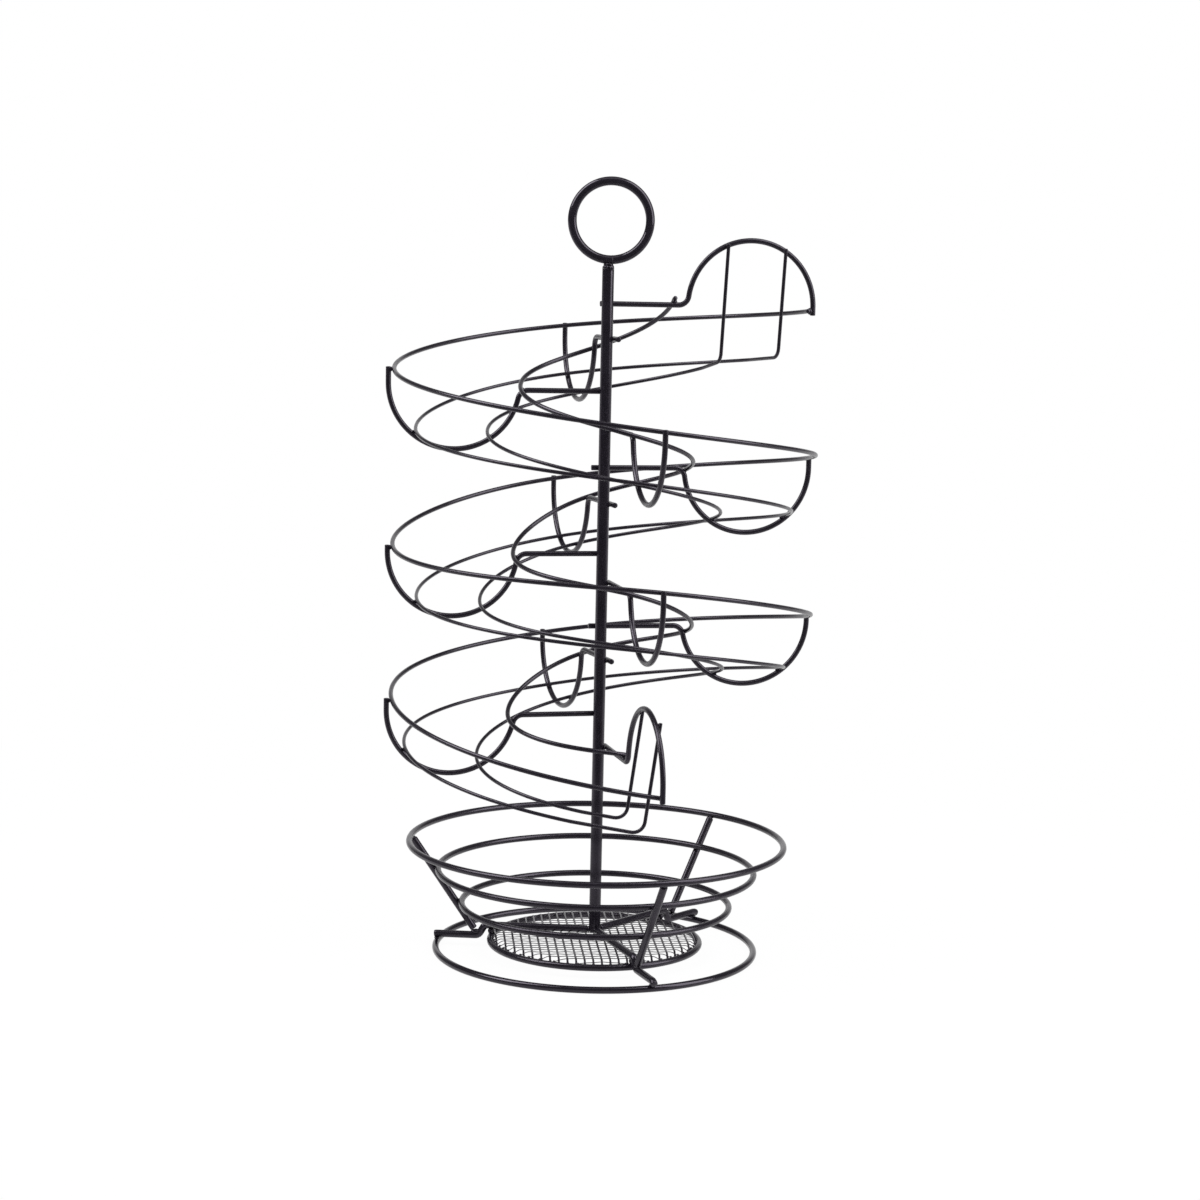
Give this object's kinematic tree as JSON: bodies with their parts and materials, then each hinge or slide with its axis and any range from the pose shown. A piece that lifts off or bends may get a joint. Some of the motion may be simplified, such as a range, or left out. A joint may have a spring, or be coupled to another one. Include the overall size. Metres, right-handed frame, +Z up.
{
  "type": "rolling egg dispenser",
  "caption": "Countertop egg rack: a spiral chute of welded black wire winds down a post, over a small round wire bowl on a ring foot, with a carrying ring on top.",
  "frame": {"origin": "on the post axis, at the underside of the foot ring", "axes": "+Z up along the post; +X and +Y lie in the plane of the foot ring, +Y away from the viewer of the picture"},
  "size_m": [0.1895, 0.1877, 0.3444],
  "materials": {
    "wire_coat": "satin black powder coat",
    "rod_coat": "satin black powder coat",
    "net_coat": "thin satin black coat on fine wire"
  },
  "bodies": {
    "root": {"foot_ring": "rod_coat", "net_rim_ring": "wire_coat", "leg_1": "wire_coat", "leg_2": "wire_coat", "leg_3": "wire_coat", "bowl_strut_1": "wire_coat", "bowl_strut_2": "wire_coat", "bowl_strut_3": "wire_coat", "bowl_ring_top": "wire_coat", "bowl_ring_middle": "wire_coat", "bowl_ring_lower": "wire_coat", "wire_net": "net_coat", "center_post": "rod_coat", "top_ring": "rod_coat", "top_end_hoop": "wire_coat", "saddle_01": "wire_coat", "saddle_02": "wire_coat", "saddle_03": "wire_coat", "saddle_04": "wire_coat", "saddle_05": "wire_coat", "saddle_06": "wire_coat", "saddle_07": "wire_coat", "saddle_08": "wire_coat", "saddle_09": "wire_coat", "saddle_10": "wire_coat", "bottom_end_hoop": "wire_coat", "outer_rim": "wire_coat", "inner_rim": "wire_coat", "outer_rail": "wire_coat", "inner_rail": "wire_coat"}
  },
  "joints": []
}
